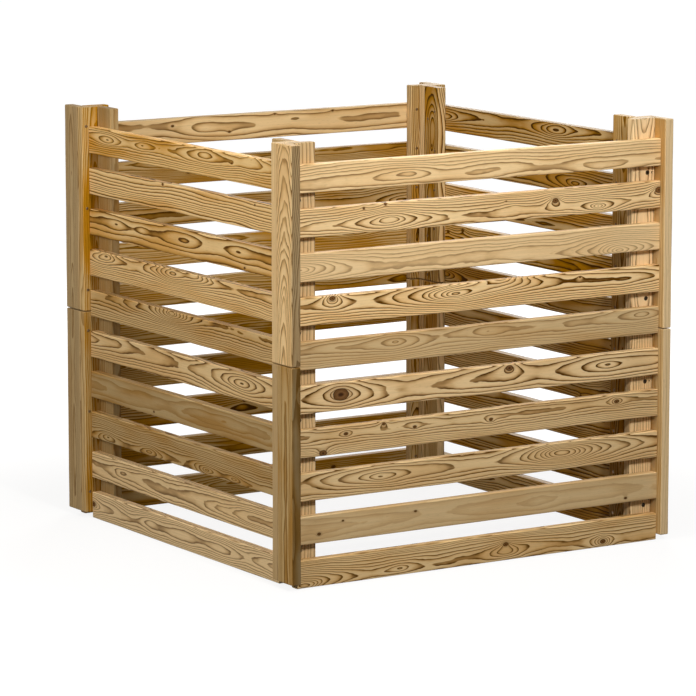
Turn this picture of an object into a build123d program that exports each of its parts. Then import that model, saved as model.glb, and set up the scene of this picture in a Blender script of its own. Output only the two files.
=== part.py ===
from build123d import *
import os

# A slatted wooden compost bin: two equal open frames stacked on each other, without floor or lid.
# Millimetres, +Z up, the origin on the ground under the middle of the bin, the front wall at -Y.

# Overall size, over the outer faces of the corner boards
WIDTH = 760.0            # along X
DEPTH = 760.0            # along Y
COURSES = 5              # slats above each other in one frame

# Planed boards
SLAT_HEIGHT = 47.0
SLAT_THICKNESS = 17.0
SLAT_GAP = 25.0          # air gap between two courses
BATTEN_WIDTH = 47.0
BATTEN_THICKNESS = 17.0
POST_THICKNESS = 17.0    # corner post, a board standing on edge
COVER_THICKNESS = 17.0   # corner cover, a board lying flat on the ends of the front and rear slats
CORNER_PROUD = 13.0      # how far posts and covers stand out past the faces of the slats
POST_RAISE = 10.0        # uprights start this far above the lowest slat's lower edge
EDGE_RADIUS = 1.5        # easing of the long edges
EDGE_LIMIT = 0.4         # at most this part of a board's thickness is rounded away

# Wire nails, driven flush
NAIL_DIAMETER = 2.5
NAIL_COVER = 4.0         # wood left between a nail's point and the face of the slat
NAIL_HEAD_DIAMETER = 5.5
NAIL_HEAD_THICKNESS = 1.2
NAIL_POINT = 4.0         # length of the point
NAIL_EDGE_INSET = 12.0   # from the long edges of a batten
NAIL_SLAT_INSET = 11.0   # from the upper edge of a slat, and from the foot of a batten
CORNER_NAIL_BITE = 28.0  # how deep the nails through a post go into the next board

# Countersunk wood screws
SCREW_DIAMETER = 4.0
SCREW_COVER = 2.0        # wood left between a screw's point and the back of the post
SCREW_HEAD_DIAMETER = 8.0
SCREW_HEAD_DEPTH = 2.8
SCREW_POINT = 5.0
PILOT_DIAMETER = 3.5     # spare pilot hole beside each upper screw
PILOT_OFFSET = 9.0

HOLE_CLEARANCE = 0.1     # around every nail and screw
POINT_RADIUS = 0.2       # blunt end of every point

# Angles between the walls, in degrees
HALF_TURN_ANGLE = 180.0
QUARTER_TURN_ANGLE = 90.0

# What follows from them
PITCH = SLAT_HEIGHT + SLAT_GAP
FRAME_HEIGHT = COURSES * PITCH
WALL_THICKNESS = SLAT_THICKNESS + BATTEN_THICKNESS
COVER_WIDTH = CORNER_PROUD + WALL_THICKNESS
FRONT_HALF = WIDTH / 2 - COVER_THICKNESS                # half the length of a front slat
SIDE_HALF = DEPTH / 2 - COVER_WIDTH - POST_THICKNESS    # half the length of a side slat
FRONT_FACE = DEPTH / 2 - CORNER_PROUD                   # outer face of the front slats
SIDE_FACE = WIDTH / 2 - CORNER_PROUD                    # outer face of the side slats
POST_FACE = DEPTH / 2 - COVER_WIDTH                     # face of the post that the front batten meets
POST_INNER_EDGE = SIDE_FACE - WALL_THICKNESS            # flush with the side wall's battens
SCREW_X = (POST_INNER_EDGE + FRONT_HALF) / 2            # middle of the front batten's seat on the post
NAIL_LENGTH = WALL_THICKNESS - NAIL_COVER
CORNER_NAIL_LENGTH = POST_THICKNESS + CORNER_NAIL_BITE
SCREW_LENGTH = BATTEN_THICKNESS + POST_THICKNESS - SCREW_COVER

# Walls: half length, distance of the outer face, angle about Z from a wall that faces -Y
WALLS = {
    "front": (FRONT_HALF, FRONT_FACE, 0.0),
    "rear": (FRONT_HALF, FRONT_FACE, HALF_TURN_ANGLE),
    "left": (SIDE_HALF, SIDE_FACE, -QUARTER_TURN_ANGLE),
    "right": (SIDE_HALF, SIDE_FACE, QUARTER_TURN_ANGLE),
}
SIDES = (-1, 1)                                         # towards -X and +X
CORNERS = {"front_left": (-1, -1), "front_right": (1, -1), "rear_left": (-1, 1), "rear_right": (1, 1)}
FRAMES = {"lower": 0.0, "upper": FRAME_HEIGHT}          # height of each frame's lowest slat edge
CORNER_NAIL_COURSES = (0, COURSES // 2, COURSES - 1)
GAPS = COURSES - 1                                      # air gaps inside one frame
SCREW_GAPS = (0, GAPS - 1)                              # the lowest and the highest of them


def plank(x, y, z):
    """A board between (low, high) limits along X, Y and Z, with its four long edges eased."""
    spans = {Axis.X: x[1] - x[0], Axis.Y: y[1] - y[0], Axis.Z: z[1] - z[0]}
    length_axis = max(spans, key=spans.get)
    solid = Pos(x[0], y[0], z[0]) * Box(*spans.values(), align=(Align.MIN, Align.MIN, Align.MIN))
    radius = min(EDGE_RADIUS, EDGE_LIMIT * min(spans.values()))
    return fillet(solid.edges().filter_by(length_axis), radius)


def between(sign, low, high):
    """The limits of a piece from low to high on one side of the middle plane."""
    return tuple(sorted((sign * low, sign * high)))


def rod(radius, start, end):
    """A round rod along +Z."""
    return Pos(0, 0, start) * Cylinder(radius, end - start, align=(Align.CENTER, Align.CENTER, Align.MIN))


def taper(start_radius, end_radius, start, end):
    """A round rod along +Z that narrows or widens."""
    cone = Cone(start_radius, end_radius, end - start, align=(Align.CENTER, Align.CENTER, Align.MIN))
    return Pos(0, 0, start) * cone


def nail(length):
    """A nail along +Z whose head lies flush in the plane Z = 0."""
    radius = NAIL_DIAMETER / 2
    head = rod(NAIL_HEAD_DIAMETER / 2, 0, NAIL_HEAD_THICKNESS)
    shank = rod(radius, 0, length - NAIL_POINT)
    return head + shank + taper(radius, POINT_RADIUS, length - NAIL_POINT, length)


def nail_hole(length):
    """The space that a nail and its sunk head take."""
    head = rod(NAIL_HEAD_DIAMETER / 2 + HOLE_CLEARANCE, 0, NAIL_HEAD_THICKNESS)
    return head + rod(NAIL_DIAMETER / 2 + HOLE_CLEARANCE, 0, length + HOLE_CLEARANCE)


def screw():
    """A countersunk screw along +Z whose head lies flush in the plane Z = 0."""
    radius = SCREW_DIAMETER / 2
    head = taper(SCREW_HEAD_DIAMETER / 2, radius, 0, SCREW_HEAD_DEPTH)
    shank = rod(radius, 0, SCREW_LENGTH - SCREW_POINT)
    return head + shank + taper(radius, POINT_RADIUS, SCREW_LENGTH - SCREW_POINT, SCREW_LENGTH)


def screw_hole():
    """The space that a screw and its countersink take."""
    radius = SCREW_DIAMETER / 2 + HOLE_CLEARANCE
    head = taper(SCREW_HEAD_DIAMETER / 2 + HOLE_CLEARANCE, radius, 0, SCREW_HEAD_DEPTH)
    return head + rod(radius, 0, SCREW_LENGTH + HOLE_CLEARANCE)


def aimed(point, direction):
    """The place of a fastener whose head is at a point and which runs along a direction."""
    return Plane(origin=point, z_dir=direction).location


def drilled(solid, tool, places):
    """A board with one hole for each place."""
    return solid - [place * tool for place in places]


def slat_nail_places(half, face, base, course, side):
    """The two nails where a slat crosses a batten, staggered, heads on the batten's inner face."""
    inner = half - BATTEN_WIDTH + NAIL_EDGE_INSET
    outer = half - NAIL_EDGE_INSET
    foot = base + course * PITCH
    upper = foot + SLAT_HEIGHT - NAIL_SLAT_INSET
    lower = foot + POST_RAISE + NAIL_SLAT_INSET
    heads = ((inner, upper), (outer, lower))
    return [aimed((side * x, WALL_THICKNESS - face, z), (0, -1, 0)) for x, z in heads]


def gap_middle(base, gap):
    """The middle height of an air gap, counted from the lowest of a frame."""
    return base + gap * PITCH + SLAT_HEIGHT + SLAT_GAP / 2


def screw_places(base, side):
    """Screws on the outer face of a front batten, in the middle of the lowest and highest gap."""
    y = SLAT_THICKNESS - FRONT_FACE
    return [aimed((side * SCREW_X, y, gap_middle(base, gap)), (0, 1, 0)) for gap in SCREW_GAPS]


def wall_screw_places(base):
    """The screws of both battens of a wall that faces -Y."""
    return [place for side in SIDES for place in screw_places(base, side)]


def pilot_place(base, side):
    """The spare hole beside the upper screw."""
    x = side * (SCREW_X + PILOT_OFFSET)
    return aimed((x, SLAT_THICKNESS - FRONT_FACE, gap_middle(base, SCREW_GAPS[-1])), (0, 1, 0))


def corner_nail_heights(base):
    """Nails through a post are level with the upper edges of some slats."""
    return [base + course * PITCH + SLAT_HEIGHT for course in CORNER_NAIL_COURSES]


def batten_nail_places(base, corner):
    """Nails from the outer face of a corner post into the edge of the side wall's batten."""
    side, end = corner
    x = side * (POST_INNER_EDGE + BATTEN_THICKNESS / 2)
    return [aimed((x, end * POST_FACE, z), (0, -end, 0)) for z in corner_nail_heights(base)]


def cover_nail_places(base, corner):
    """Nails from the inner face of a corner post into the edge of the corner cover."""
    side, end = corner
    x = side * (WIDTH / 2 - COVER_THICKNESS / 2)
    y = end * (POST_FACE - POST_THICKNESS)
    return [aimed((x, y, z), (0, end, 0)) for z in corner_nail_heights(base)]


def turned(places, turn):
    """Places of a wall that faces -Y, carried to another wall."""
    return [Rot(0, 0, turn) * place for place in places]


def upright_limits(base):
    """Foot and top of the battens, posts and covers of a frame."""
    return (base + POST_RAISE, base + POST_RAISE + FRAME_HEIGHT)


def slat(half, face, base, course):
    """One slat of a wall that faces -Y, with the holes of its nails."""
    foot = base + course * PITCH
    board = plank((-half, half), (-face, SLAT_THICKNESS - face), (foot, foot + SLAT_HEIGHT))
    places = [place for side in SIDES for place in slat_nail_places(half, face, base, course, side)]
    return drilled(board, nail_hole(NAIL_LENGTH), places)


def batten(half, face, base, side):
    """One upright batten of a wall that faces -Y, with the holes of the nails into its slats."""
    back = WALL_THICKNESS - face
    x = between(side, half - BATTEN_WIDTH, half)
    board = plank(x, (back - BATTEN_THICKNESS, back), upright_limits(base))
    places = [place for course in range(COURSES)
              for place in slat_nail_places(half, face, base, course, side)]
    return drilled(board, nail_hole(NAIL_LENGTH), places)


def front_batten(half, face, base, side):
    """A batten of the front or rear wall: it also takes the screws and one spare pilot hole."""
    board = drilled(batten(half, face, base, side), screw_hole(), screw_places(base, side))
    pilot = rod(PILOT_DIAMETER / 2, 0, BATTEN_THICKNESS)
    return drilled(board, pilot, [pilot_place(base, side)])


def side_batten(half, face, base, side, turn):
    """A batten of a side wall: it also takes the nails that come through the corner posts."""
    board = Rot(0, 0, turn) * batten(half, face, base, side)
    places = [place for corner in CORNERS.values() for place in batten_nail_places(base, corner)]
    return drilled(board, nail_hole(CORNER_NAIL_LENGTH), places)


def corner_post(base, corner):
    """A board on edge behind the end of the front or rear wall."""
    side, end = corner
    x = between(side, POST_INNER_EDGE, WIDTH / 2)
    y = between(end, POST_FACE - POST_THICKNESS, POST_FACE)
    board = plank(x, y, upright_limits(base))
    nails = batten_nail_places(base, corner) + cover_nail_places(base, corner)
    board = drilled(board, nail_hole(CORNER_NAIL_LENGTH), nails)
    turn = 0.0 if end < 0 else HALF_TURN_ANGLE
    return drilled(board, screw_hole(), turned(wall_screw_places(base), turn))


def corner_cover(base, corner):
    """A flat board outside the post, over the ends of the front or rear slats."""
    side, end = corner
    x = between(side, WIDTH / 2 - COVER_THICKNESS, WIDTH / 2)
    board = plank(x, between(end, POST_FACE, DEPTH / 2), upright_limits(base))
    return drilled(board, nail_hole(CORNER_NAIL_LENGTH), cover_nail_places(base, corner))


def frame_nodes(frame, base):
    """Every node of one frame, by name."""
    nodes = {}
    slat_nails = []
    screws = []
    for wall, (half, face, turn) in WALLS.items():
        for course in range(COURSES):
            board = slat(half, face, base, course)
            nodes[f"{wall}_slat_{frame}_{course + 1}"] = [Rot(0, 0, turn) * board]
            for side in SIDES:
                slat_nails += turned(slat_nail_places(half, face, base, course, side), turn)
        if wall in ("front", "rear"):
            pair = [Rot(0, 0, turn) * front_batten(half, face, base, side) for side in SIDES]
            screws += turned(wall_screw_places(base), turn)
        else:
            pair = [side_batten(half, face, base, side, turn) for side in SIDES]
        nodes[f"{wall}_battens_{frame}"] = pair
    corner_nails = []
    for name, corner in CORNERS.items():
        nodes[f"corner_post_{name}_{frame}"] = [corner_post(base, corner), corner_cover(base, corner)]
        corner_nails += batten_nail_places(base, corner) + cover_nail_places(base, corner)
    nails = [place * nail(NAIL_LENGTH) for place in slat_nails]
    nails += [place * nail(CORNER_NAIL_LENGTH) for place in corner_nails]
    nodes[f"nails_{frame}"] = nails
    nodes[f"screws_{frame}"] = [place * screw() for place in screws]
    return nodes


os.makedirs("parts", exist_ok=True)
for frame, base in FRAMES.items():
    for name, solids in frame_nodes(frame, base).items():
        shape = solids[0] if len(solids) == 1 else Compound(children=solids)
        shape.label = name
        export_step(shape, f"parts/{name}.step")
print("overall size", WIDTH, DEPTH, len(FRAMES) * FRAME_HEIGHT + POST_RAISE)
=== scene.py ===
import math
from collections import namedtuple

import bpy
import numpy as np
from bpy.props import FloatProperty, FloatVectorProperty, IntProperty, PointerProperty
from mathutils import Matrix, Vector


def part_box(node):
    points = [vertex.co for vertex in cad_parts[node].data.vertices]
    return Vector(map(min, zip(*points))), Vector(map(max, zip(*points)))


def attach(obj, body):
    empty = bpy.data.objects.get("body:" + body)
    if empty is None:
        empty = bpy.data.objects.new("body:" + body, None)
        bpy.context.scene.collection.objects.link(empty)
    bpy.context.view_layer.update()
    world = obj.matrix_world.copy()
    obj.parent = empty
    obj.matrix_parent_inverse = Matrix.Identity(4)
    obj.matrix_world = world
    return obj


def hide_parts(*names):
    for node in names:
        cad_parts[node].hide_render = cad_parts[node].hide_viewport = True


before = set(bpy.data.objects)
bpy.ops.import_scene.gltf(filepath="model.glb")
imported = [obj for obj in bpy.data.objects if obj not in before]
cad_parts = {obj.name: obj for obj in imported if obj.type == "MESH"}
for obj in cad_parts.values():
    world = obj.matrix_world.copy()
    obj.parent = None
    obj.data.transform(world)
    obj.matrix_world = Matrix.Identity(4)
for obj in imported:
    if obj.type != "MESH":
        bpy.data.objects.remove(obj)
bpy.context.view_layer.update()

bl_info = {
    "name": "Slatted Compost Bin",
    "version": (1, 0, 0),
    "blender": (4, 5, 0),
    "location": "3D View > Sidebar > Compost Bin",
    "description": "Dresses the two frames of a slatted compost bin with sawn boards, nails and screws",
    "category": "Add Mesh",
}

MM = 0.001
UP = np.array((0.0, 0.0, 1.0))

FRAMES = ("lower", "upper")
COURSES = 5
SIDES = (-1, 1)
# Outward direction of each wall
WALLS = {
    "front": np.array((0.0, -1.0, 0.0)),
    "rear": np.array((0.0, 1.0, 0.0)),
    "left": np.array((-1.0, 0.0, 0.0)),
    "right": np.array((1.0, 0.0, 0.0)),
}
# Direction along each wall, from left to right for someone who looks at it from outside
SIDEWAYS = {wall: np.cross(UP, outward) for wall, outward in WALLS.items()}
NEAR_WALLS = ("front", "left")
SCREWED_WALLS = ("front", "rear")
# Side of each corner along X and Y
CORNERS = {"front_left": (-1, -1), "front_right": (1, -1), "rear_left": (-1, 1), "rear_right": (1, 1)}


def node_limits(node):
    """Lowest and highest corner of a node, as arrays in metres."""
    low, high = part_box(node)
    return np.array(low), np.array(high)


# Sizes read from the frame
SLAT_LOW, SLAT_HIGH = node_limits("front_slat_lower_1")
SIDE_LOW, SIDE_HIGH = node_limits("left_slat_lower_1")
BATTEN_LOW, BATTEN_HIGH = node_limits("front_battens_lower")
CORNER_LOW, CORNER_HIGH = node_limits("corner_post_front_left_lower")
SLAT_HEIGHT = SLAT_HIGH[2] - SLAT_LOW[2]
COURSE_PITCH = node_limits("front_slat_lower_2")[0][2] - SLAT_LOW[2]
FRAME_BASE = {part: node_limits(f"front_slat_{part}_1")[0][2] for part in FRAMES}
FRONT_HALF = SLAT_HIGH[0]
SIDE_HALF = SIDE_HIGH[1]
WALL_HALF = {"front": FRONT_HALF, "rear": FRONT_HALF, "left": SIDE_HALF, "right": SIDE_HALF}
WALL_FACE = {"front": -SLAT_LOW[1], "rear": -SLAT_LOW[1], "left": -SIDE_LOW[0], "right": -SIDE_LOW[0]}
SLAT_THICKNESS = SLAT_HIGH[1] - SLAT_LOW[1]
BATTEN_THICKNESS = BATTEN_HIGH[1] - BATTEN_LOW[1]
WALL_THICKNESS = SLAT_THICKNESS + BATTEN_THICKNESS
# The front batten lies on the post's outer face
POST_OUTER_FACE = -BATTEN_HIGH[1]
POST_INNER_FACE = -CORNER_HIGH[1]
POST_INNER_EDGE = -CORNER_HIGH[0]
CORNER_HALF = -CORNER_LOW[0]
UPRIGHT_RAISE = BATTEN_LOW[2]

# How a board was cut from the log. Ring width in mm; the pith line, given at equal steps from the
# start of the board to its end, in mm above the lower edge and in mm behind the outer face; how
# strongly the rings show; how pale (+) or dark (-) and how warm the board is. A knot or an island
# (a closed ring without a branch in it) is mm along, mm up, radius in mm, and how far it swells the
# rings. Edges are how pale or dark the lower and the upper edge are against the face.
# On a slat the edges are painted light: a painted highlight or painted shade set from the board settings;
# on a corner cover they are the wood's own tone.
Timber = namedtuple("Timber", "ring across behind contrast tone warmth knots islands edges",
                    defaults=((), (), (0.0, 0.0)))
# The most knots and islands that a board may have
KNOTS = 6
ISLANDS = 4

FRONT_TIMBER = {
    ("upper", 5): Timber(3.8, (14, 16, 14, 16, 12, 14), (19, 15, 18, 14, 18, 13, 15), 0.62, 0.16, 0.3,
                         (), ((215, 20, 7, 1.6), (290, 24, 5, -0.8))),
    ("upper", 4): Timber(3.4, (16, 16, 14, 12, 14, 20), (18, 15, 17, 18, 15, 19), 0.95, 0.16, 0.35,
                         ((128, 41, 1.8, 2.6), (170, 45, 2.2, 3.0), (408, 33, 1.4, 2.0),
                          (508, 27, 4.4, 4.0), (723, 31, 5.5, 3.6)),
                         ((180, 20, 9, 1.8), (425, 24, 8, 0.9), (596, 12, 4, 4.5))),
    ("upper", 3): Timber(3.4, (20, 18, 16, 14, 10), (21, 24, 21, 23, 18), 0.45, 0.08, 0.25,
                         (), ((640, 5, 10, 3.4), (6, 21, 9, 2.4))),
    ("upper", 2): Timber(3.6, (32, 32, 30, 32, 30, 30), (17, 19, 15, 18, 14, 17), 1.1, 0.17, 0.45,
                         ((68, 42, 4.2, 7.0), (560, 38, 1.8, 3.0)),
                         ((305, 30, 10, 2.4), (398, 52, 13, 3.2), (655, 28, 8, 0.8))),
    ("upper", 1): Timber(3.6, (32, 32, 33, 34, 34, 36), (18, 15, 18, 17, 15, 18), 0.48, -0.18, 0.45,
                         (), ((190, 32, 6, 2.0), (372, 34, 5, 1.6), (690, 36, 9, 1.8))),
    ("lower", 5): Timber(5.0, (26, 26, 26, 28, 26, 28), (21, 18, 23, 19, 22, 18, 21), 1.05, 0.04, 0.25,
                         ((84, 27, 10.5, 2.6), (417, 40, 5.0, 4.0)),
                         ((200, 24, 9, -0.9), (620, 28, 10, 1.6), (715, 28, 9, 1.4))),
    ("lower", 4): Timber(3.0, (34, 33, 34, 32, 34, 33), (11, 13, 12, 10, 13, 11), 0.85, -0.07, 0.4,
                         ((94, 33, 2.8, 2.6), (167, 42, 2.6, 2.8), (228, 31, 2.6, 2.2),
                          (380, 28, 2.6, 2.8), (639, 34, 3.4, 3.4), (50, 5, 5.0, 3.0))),
    ("lower", 3): Timber(3.6, (28, 28, 27, 28, 29, 28), (18, 21, 17, 20, 18, 21), 0.85, -0.06, 0.4,
                         (), ((160, 27, 12, 1.9), (526, 29, 12, 3.4), (20, 26, 8, -0.8))),
    ("lower", 2): Timber(4.2, (24, 26, 24, 22), (21, 28, 24, 27), 0.13, -0.22, 0.4,
                         ((42, 16, 2.6, 1.6), (88, 33, 1.6, 1.0), (230, 33, 2.0, 1.2), (660, 8, 2.2, 2.0))),
    ("lower", 1): Timber(3.2, (14, 12, 13, 15, 12, 13), (15, 18, 15, 17, 18, 15), 0.9, -0.06, 0.55,
                         ((412, 28, 3.8, 4.0), (613, 10, 4.2, 5.0)),
                         ((200, 12, 4, 2.2), (411, 15, 5, 2.2), (15, 4, 10, 3.2))),
}
LEFT_TIMBER = {
    ("upper", 5): Timber(3.4, (30, 31, 32, 34, 32), (15, 18, 15, 13, 17), 0.9, 0.14, 1.0,
                         ((487, 31, 1.8, 2.0),),
                         ((68, 29, 6, 2.0), (188, 31, 5, 1.8), (400, 36, 8, 1.4), (550, 44, 5, 1.6))),
    ("upper", 4): Timber(4.8, (62, 58, 64, 60, 56), (8, 10, 8, 9, 8), 1.5, 0.20, 0.7,
                         ((258, 44, 2.6, 1.6), (560, 42, 1.6, 1.2))),
    ("upper", 3): Timber(7.2, (28, 27, 28, 29, 28), (17, 21, 19, 22, 18), 0.9, 0.12, 0.8,
                         ((527, 6, 2.4, 1.4),),
                         ((95, 30, 5, 1.6), (185, 29, 5, 1.7), (330, 28, 7, 1.6), (505, 30, 6, 1.8))),
    ("upper", 2): Timber(3.2, (38, 36, 40, 38, 36), (12, 15, 10, 13, 11), 1.0, 0.14, 0.6,
                         (), ((60, 42, 7, 2.0), (290, 40, 9, 1.9), (365, 46, 6, 2.6))),
    ("upper", 1): Timber(3.2, (40, 42, 44, 42, 40), (19, 17, 19, 17, 15), 1.05, -0.14, 0.7,
                         (), ((286, 43, 10, 3.6),)),
    ("lower", 5): Timber(4.2, (34, 33, 31, 29, 28), (10, 18, 27, 17, 19), 0.95, 0.0, 0.4,
                         (), ((515, 28, 9, 1.8), (410, 30, 7, -0.6))),
    ("lower", 4): Timber(4.4, (24, 22, 26, 24), (25, 28, 24, 27), 0.18, -0.40, 0.8, ((222, 8, 1.8, 0.8),)),
    ("lower", 3): Timber(3.0, (6, 4, 8, 5, 6), (17, 15, 18, 15, 17), 0.8, -0.30, 0.8,
                         (), ((60, 10, 5, 2.0), (205, 8, 6, 1.8), (400, 8, 6, 2.2), (490, 7, 4, 2.6))),
    ("lower", 2): Timber(2.8, (22, 22, 24, 23, 24), (31, 28, 23, 18, 12), 0.85, 0.045, 0.15,
                         (), ((110, 26, 6, 1.2),)),
    ("lower", 1): Timber(2.9, (24, 22, 25, 24, 25), (12, 18, 14, 19, 14), 0.75, 0.085, -0.05,
                         ((4, 25, 5.0, 2.5),), ((205, 26, 6, 1.4), (440, 26, 8, 1.0))),
}
# Of these walls the photo shows the inner faces of the upper slats
REAR_TIMBER = {
    ("upper", 5): Timber(8.0, (30, 26, 24, 28, 34, 32), (36, 32, 39, 33, 40, 34), 0.75, 0.29, -0.20,
                         ((207, 42, 1.8, 2.0), (330, 43, 1.8, 2.0),
                          (425, 16, 2.2, 2.0), (542, 33, 2.4, 2.4)),
                         ((285, 33, 5, 1.6), (480, 24, 6, 1.2))),
    ("upper", 3): Timber(3.8, (14, 12, 15, 18, 14), (32, 38, 33, 37, 32), 1.1, -0.05, 0.35,
                         (), ((60, 12, 6, 1.6),)),
}
RIGHT_TIMBER = {
    ("upper", 5): Timber(4.6, (42, 40, 36, 34, 33), (36, 31, 35, 31, 37), 1.45, 0.0, 0.4,
                         (), ((240, 34, 9, 2.6), (590, 26, 9, 2.6))),
    ("upper", 4): Timber(4.6, (20, 22, 24, 26, 28), (34, 31, 36, 32, 36), 1.45, 0.0, 0.4,
                         (), ((180, 18, 8, 2.2),)),
}
PICTURED_TIMBER = {"front": FRONT_TIMBER, "left": LEFT_TIMBER, "rear": REAR_TIMBER, "right": RIGHT_TIMBER}
# How the other slats of a wall differ from any drawn board
DRAWN_SHIFT = {"right": {"contrast": 0.55, "tone": 0.18}}
# The uprights in view: battens, with -1 or 1 for the left or right end of their wall, and corner boards
UPRIGHT_TIMBER = {
    "front_battens_upper.-1": Timber(7.0, (-26, -30, -28), (14, 12, 15), 0.80, -0.12, 0.25),
    "front_battens_lower.-1": Timber(6.0, (-20, -24, -22), (12, 14, 12), 0.70, -0.12, 0.25),
    "front_battens_upper.1": Timber(4.2, (20, 22, 24, 22), (26, 20, 24, 12), 0.70, 0.12, 0.0),
    "front_battens_lower.1": Timber(3.8, (52, 48, 50), (14, 18, 14), 0.70, 0.02, 0.15),
    # The left wall's battens stand behind its slats; their low tones are painted shade for that place.
    "left_battens_upper.-1": Timber(3.6, (52, 54, 53), (16, 18, 17), 0.40, -0.40, 0.8),
    "left_battens_lower.-1": Timber(3.8, (56, 54, 55), (18, 17, 18), 0.40, -0.52, 0.8),
    "left_battens_upper.1": Timber(3.8, (-8, -10, -9), (17, 18, 16), 0.40, -0.25, 0.8),
    "left_battens_lower.1": Timber(3.6, (-6, -9, -8), (18, 16, 17), 0.40, -0.22, 0.8),
    "corner_post_front_left_upper.cover": Timber(
        2.6, (24, 25, 23, 24), (14, 23, 35, 48), 0.75, 0.16, 0.35, edges=(-0.70, 0.0)),
    "corner_post_front_left_lower.cover": Timber(
        4.0, (20, 22, 21, 24), (9, 11, 10, 14), 0.55, -0.30, 0.9, edges=(-0.42, 0.0)),
    "corner_post_front_left_upper.post": Timber(
        3.6, (40, 42, 41), (20, 22, 21), 0.20, 0.08, 0.30),
    "corner_post_front_left_lower.post": Timber(
        3.6, (40, 42, 41), (20, 22, 21), 0.20, -0.26, 0.30),
    "corner_post_rear_left_upper.cover": Timber(
        2.8, (23, 25, 23, 24), (9, 12, 10, 14), 0.60, -0.30, 0.35),
    "corner_post_rear_left_upper.post": Timber(
        4.0, (28, 26, 28), (14, 24, 34), 0.45, -0.05, 0.8),
    "corner_post_rear_left_lower.cover": Timber(
        2.8, (26, 24, 26, 24), (12, 10, 13, 10), 0.55, -0.34, 0.40),
    "corner_post_rear_left_lower.post": Timber(
        4.0, (24, 26, 24), (30, 22, 14), 0.45, -0.15, 0.7),
    "corner_post_front_right_upper.cover": Timber(
        4.6, (24, 26, 24), (30, 32, 30), 0.16, -0.02, 0.05),
    "corner_post_front_right_lower.cover": Timber(
        4.6, (22, 24, 26), (32, 30, 33), 0.16, -0.06, 0.10),
}


def draws(name):
    """A random generator that always starts from the letters of a piece's name."""
    return np.random.default_rng(list(name.encode()))


# Limits between which a board's timber is drawn where it isn't set. Pith: height as a share of the
# width, its wander in mm, lean as a share of the greatest lean, distance behind the face and its
# wander in mm. Knots and islands: places as shares of length and width, radius in mm, and swell.
PITH_STATIONS = 6
PITH_HEIGHT = (0.1, 0.9)
PITH_HEIGHT_WANDER = (-2.0, 2.0)
PITH_LEAN = (0.4, 1.0)
PITH_BEHIND = (18.0, 28.0)
PITH_BEHIND_WANDER = (-3.0, 3.0)
RING_WIDTH = (3.0, 4.8)
CONTRAST = (0.6, 1.1)
TONE = (-0.10, 0.08)
WARMTH = (0.3, 0.9)
DRAWN_KNOT = ((0.05, 0.95), (0.1, 0.9), (1.5, 4.0), (1.6, 3.6))
DRAWN_ISLAND = ((0.05, 0.95), (0.2, 0.8), (4.0, 10.0), (0.8, 2.4))
DRAWN_KNOTS = 2
DRAWN_ISLANDS = 3


def drawn_spots(luck, most, limits, length, width):
    """From none to so many knots or islands."""
    spans = (length, width, 1.0, 1.0)
    return tuple(tuple(luck.uniform(*pair) * span for pair, span in zip(limits, spans))
                 for _ in range(luck.integers(0, most + 1)))


def drawn_timber(name, width, length, lean):
    """Timber drawn from a board's name, for boards that aren't listed; sizes in mm.

    The pith line runs at a random height, leans away from the face by up to the given number of mm
    from end to end, and wanders by a few mm.
    """
    luck = draws(name)
    across = width * luck.uniform(*PITH_HEIGHT) + luck.uniform(*PITH_HEIGHT_WANDER, PITH_STATIONS)
    slope = lean * luck.uniform(*PITH_LEAN) * luck.choice(SIDES)
    behind = luck.uniform(*PITH_BEHIND) + np.abs(slope) / 2 + slope * np.linspace(-0.5, 0.5, PITH_STATIONS)
    behind = behind + luck.uniform(*PITH_BEHIND_WANDER, PITH_STATIONS)
    knots = drawn_spots(luck, DRAWN_KNOTS, DRAWN_KNOT, length, width)
    islands = drawn_spots(luck, DRAWN_ISLANDS, DRAWN_ISLAND, length, width)
    limits = (RING_WIDTH, CONTRAST, TONE, WARMTH)
    ring, contrast, tone, warmth = (luck.uniform(*pair) for pair in limits)
    return Timber(ring, tuple(across), tuple(behind), contrast, tone, warmth, knots, islands)


# A board: its limits, outward and lengthwise directions, timber, easing of its ends, and a cutter
# for the round holes bored into its face
Board = namedtuple("Board", "low high outward length timber easing cutter")

# A mesh as whole arrays: points, the corners of all faces in a row, and how many corners each face has
Shape = namedtuple("Shape", "points corners sizes")


def settings():
    """The values that the panel shows."""
    return bpy.context.scene.compost_bin


def board_axes(board):
    """Lengthwise, crosswise and outward unit vectors of a board, right-handed, as rows."""
    return np.stack((board.length, np.cross(board.outward, board.length), board.outward))


def board_spans(board):
    """Length, width and thickness of a board."""
    return np.abs(board_axes(board) @ (board.high - board.low))


def board_start(board):
    """The corner of a board where along, up and depth are all nought: start, lower edge, outer face."""
    middle = (board.low + board.high) / 2
    return middle + np.array((-0.5, -0.5, 0.5)) * board_spans(board) @ board_axes(board)


def rounded_section(width, thickness, radius, arc_steps, flat_places):
    """Anchors and outward normals around a rectangle with round corners, counter-clockwise.

    A point of the section is anchor + (radius - inset) * normal. Anchors lie on the rectangle that
    is smaller by the radius; a corner's arc turns the normal by a quarter, a flat keeps it.
    """
    corner_signs = np.array(((1, -1), (1, 1), (-1, 1), (-1, -1)))
    corners = corner_signs * (np.array((width, thickness)) / 2 - radius)
    turns = np.arange(-1, 3)[:, None] * math.pi / 2 + np.linspace(0, math.pi / 2, arc_steps + 1)
    arc_anchors = np.repeat(corners[:, None], arc_steps + 1, axis=1)
    following = np.roll(corners, -1, axis=0)
    places = np.asarray(flat_places)[None, :, None]
    flat_anchors = corners[:, None] * (1 - places) + following[:, None] * places
    flat_turns = np.repeat(turns[:, -1:], len(flat_places), axis=1)
    anchors = np.concatenate((arc_anchors, flat_anchors), axis=1).reshape(-1, 2)
    angles = np.concatenate((turns, flat_turns), axis=1).ravel()
    return anchors, np.stack((np.cos(angles), np.sin(angles)), axis=1)


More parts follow.
